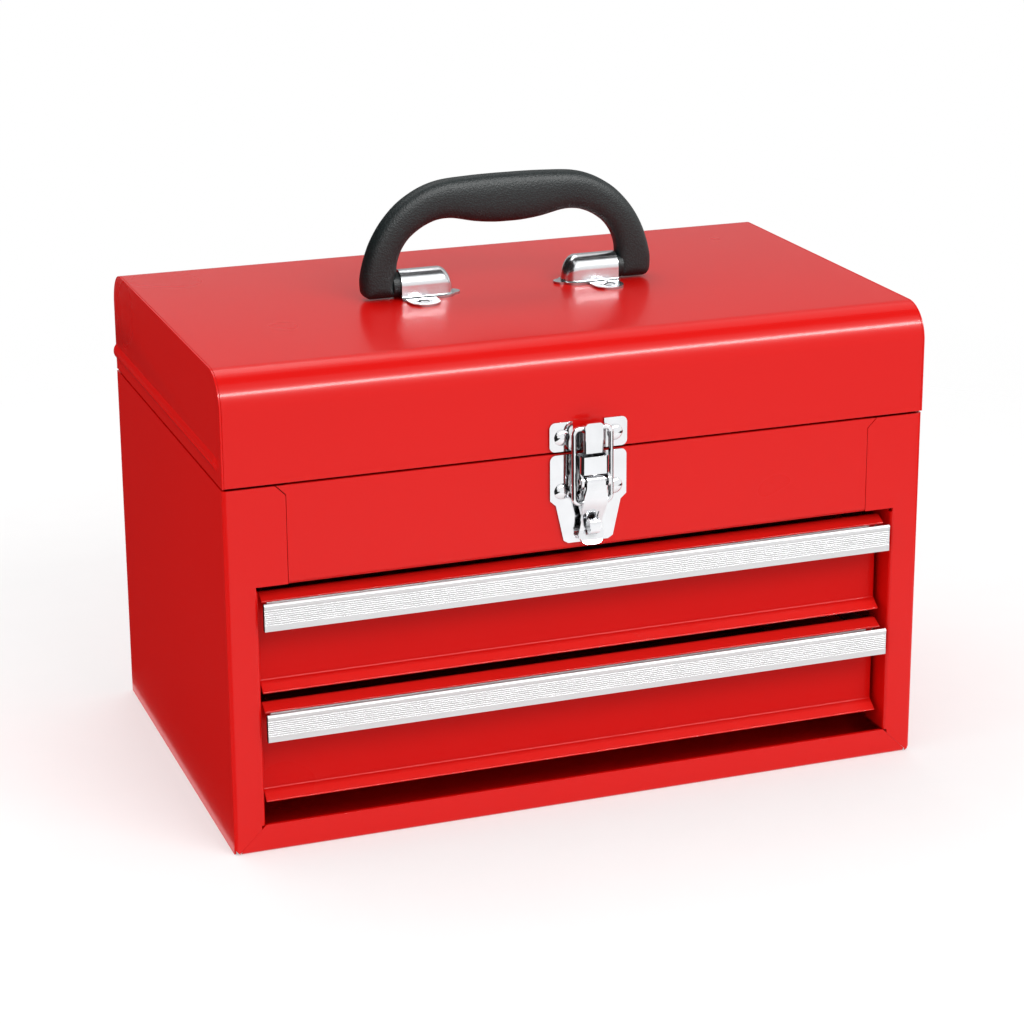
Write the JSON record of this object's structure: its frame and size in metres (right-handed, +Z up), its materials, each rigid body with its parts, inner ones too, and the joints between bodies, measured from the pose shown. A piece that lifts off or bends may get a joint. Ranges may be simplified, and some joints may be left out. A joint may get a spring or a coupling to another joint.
{
  "type": "tool box",
  "caption": "Portable folded steel tool box with pull-out drawers under a top tray, a hinged lid, a draw latch and a fold-down carrying handle.",
  "frame": {"origin": "middle of the case's underside", "axes": "+X to the right as seen from the front, along the width; +Y towards the hinge side; +Z up. The drawers open towards -Y."},
  "size_m": [0.369, 0.2466, 0.3024],
  "materials": {
    "red_enamel": "smooth glossy red enamel on folded steel sheet",
    "zinc_plate": "zinc-plated steel with a fine grain",
    "satin_aluminium": "satin anodised extrusion with fine grooves along it",
    "black_plastic": "black moulded plastic with a fine leather grain",
    "chrome_plate": "bright chrome-plated pressed steel and wire"
  },
  "bodies": {
    "case": {"side_panel_left": "red_enamel", "side_panel_right": "red_enamel", "back_panel": "red_enamel", "bottom_pan": "red_enamel", "tray": "red_enamel", "runner_1_left": "zinc_plate", "runner_1_right": "zinc_plate", "runner_2_left": "zinc_plate", "runner_2_right": "zinc_plate", "hinge_leaf_case": "zinc_plate", "hinge_pin": "zinc_plate", "latch_base": "chrome_plate", "latch_base_rivets": "chrome_plate", "latch_pin": "chrome_plate"},
    "lid": {"lid_shell": "red_enamel", "lid_end_left": "red_enamel", "lid_end_right": "red_enamel", "hinge_leaf_lid": "zinc_plate", "latch_keeper": "chrome_plate", "keeper_rivets": "chrome_plate", "handle_saddle_left": "chrome_plate", "handle_saddle_right": "chrome_plate", "saddle_rivets": "chrome_plate"},
    "handle": {"handle": "black_plastic"},
    "drawer_1": {"drawer_1_front": "red_enamel", "drawer_1_box": "red_enamel", "drawer_1_pull": "satin_aluminium"},
    "drawer_2": {"drawer_2_front": "red_enamel", "drawer_2_box": "red_enamel", "drawer_2_pull": "satin_aluminium"},
    "latch_lever": {"latch_lever": "chrome_plate"},
    "latch_loop": {"latch_loop": "chrome_plate"}
  },
  "joints": [
    {"name": "lid", "type": "hinge", "parent": "case", "child": "lid", "pos_m": [0, 0.1173, 0.1875], "axis": [-1, 0, 0], "range_deg": [0, 100]},
    {"name": "handle", "type": "hinge", "parent": "lid", "child": "handle", "pos_m": [0, 0, 0.2486], "axis": [-1, 0, 0], "range_deg": [-88, 88]},
    {"name": "drawer_1", "type": "slide", "parent": "case", "child": "drawer_1", "axis": [0, -1, 0], "range_m": [0, 0.165]},
    {"name": "drawer_2", "type": "slide", "parent": "case", "child": "drawer_2", "axis": [0, -1, 0], "range_m": [0, 0.165]},
    {"name": "latch_lever", "type": "hinge", "parent": "case", "child": "latch_lever", "pos_m": [0, -0.1235, 0.1734], "axis": [-1, 0, 0], "range_deg": [0, 90]},
    {"name": "latch_loop", "type": "hinge", "parent": "latch_lever", "child": "latch_loop", "pos_m": [0, -0.1213, 0.1618], "axis": [-1, 0, 0], "range_deg": [-62, 0]}
  ],
  "couplings": [
    {"joint": "latch_loop", "follows": "latch_lever", "ratio": -0.68}
  ]
}
